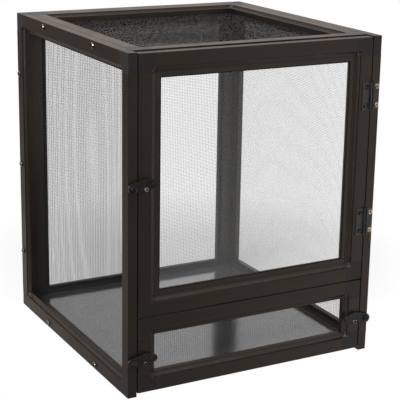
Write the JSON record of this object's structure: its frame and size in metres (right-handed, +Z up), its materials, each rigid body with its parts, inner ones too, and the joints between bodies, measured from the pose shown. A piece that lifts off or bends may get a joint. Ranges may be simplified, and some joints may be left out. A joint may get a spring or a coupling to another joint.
{
  "type": "mesh reptile cage",
  "caption": "Box-shaped screen cage of dark framed mesh panels with a clear hinged front door, a lift-out mesh hatch below it, hook latches and a solid floor.",
  "frame": {"origin": "On the ground under the middle of the whole box, latches and screw heads included", "axes": "+X to the right seen from the door side, +Y from the door to the back, +Z up"},
  "size_m": [0.4152, 0.426, 0.494],
  "materials": {
    "dark_frame": "satin dark bronze-black anodised extrusion",
    "corner_plastic": "fine-grained moulded black plastic",
    "fly_screen": "dark woven wire screen",
    "black_rubber": "matt black extruded rubber",
    "floor_sheet": "glossy dark grey sheet",
    "clear_pane": "clear acrylic sheet",
    "bright_screw": "bright yellow-passivated screw",
    "black_steel": "black coated steel",
    "latch_plastic": "satin moulded black plastic"
  },
  "bodies": {
    "cage": {"left_front_stile": "dark_frame", "left_back_stile": "dark_frame", "left_top_rail": "dark_frame", "left_bottom_rail": "dark_frame", "left_corner_keys": "corner_plastic", "left_screen": "fly_screen", "right_front_stile": "dark_frame", "right_back_stile": "dark_frame", "right_top_rail": "dark_frame", "right_bottom_rail": "dark_frame", "right_corner_keys": "corner_plastic", "right_screen": "fly_screen", "back_left_stile": "dark_frame", "back_right_stile": "dark_frame", "back_top_rail": "dark_frame", "back_bottom_rail": "dark_frame", "back_corner_keys": "corner_plastic", "back_screen": "fly_screen", "top_left_rail": "dark_frame", "top_right_rail": "dark_frame", "top_front_rail": "dark_frame", "top_back_rail": "dark_frame", "top_corner_keys": "corner_plastic", "top_screen": "fly_screen", "base_left_rail": "dark_frame", "base_right_rail": "dark_frame", "base_front_rail": "dark_frame", "base_back_rail": "dark_frame", "base_corner_keys": "corner_plastic", "floor_sheet": "floor_sheet", "screen_splines": "black_rubber", "panel_screws": "bright_screw", "door_stop_screws": "bright_screw", "hatch_locating_pins": "bright_screw", "hinge_post_leaves": "black_steel", "hinge_pins": "black_steel", "hinge_post_screws": "bright_screw", "latch_pivot_screws": "black_steel"},
    "door": {"door_hinge_stile": "dark_frame", "door_latch_stile": "dark_frame", "door_top_rail": "dark_frame", "door_bottom_rail": "dark_frame", "door_corner_keys": "corner_plastic", "door_pane": "clear_pane", "door_glazing_beads": "dark_frame", "door_splines": "black_rubber", "door_keeper_screw": "bright_screw", "hinge_door_leaves": "black_steel", "hinge_door_screws": "black_steel"},
    "hatch": {"hatch_left_stile": "dark_frame", "hatch_right_stile": "dark_frame", "hatch_top_rail": "dark_frame", "hatch_bottom_rail": "dark_frame", "hatch_corner_keys": "corner_plastic", "hatch_screen": "fly_screen", "hatch_splines": "black_rubber", "hatch_keeper_screws": "bright_screw"},
    "door_latch": {"door_latch": "latch_plastic"},
    "hatch_left_latch": {"hatch_left_latch": "latch_plastic"},
    "hatch_right_latch": {"hatch_right_latch": "latch_plastic"}
  },
  "joints": [
    {"name": "door_swing", "type": "hinge", "parent": "cage", "child": "door", "pos_m": [0.1902, -0.208, 0.308], "axis": [0, 0, 1], "range_deg": [0, 170]},
    {"name": "hatch_pull", "type": "slide", "parent": "cage", "child": "hatch", "axis": [0, -1, 0], "range_m": [0, 0.2]},
    {"name": "door_latch_turn", "type": "hinge", "parent": "cage", "child": "door_latch", "pos_m": [-0.199, -0.205, 0.30885], "axis": [0, -1, 0], "range_deg": [0, 110]},
    {"name": "hatch_left_latch_turn", "type": "hinge", "parent": "cage", "child": "hatch_left_latch", "pos_m": [-0.199, -0.205, 0.054], "axis": [0, -1, 0], "range_deg": [0, 110]},
    {"name": "hatch_right_latch_turn", "type": "hinge", "parent": "cage", "child": "hatch_right_latch", "pos_m": [0.199, -0.205, 0.054], "axis": [0, 1, 0], "range_deg": [0, 110]}
  ]
}
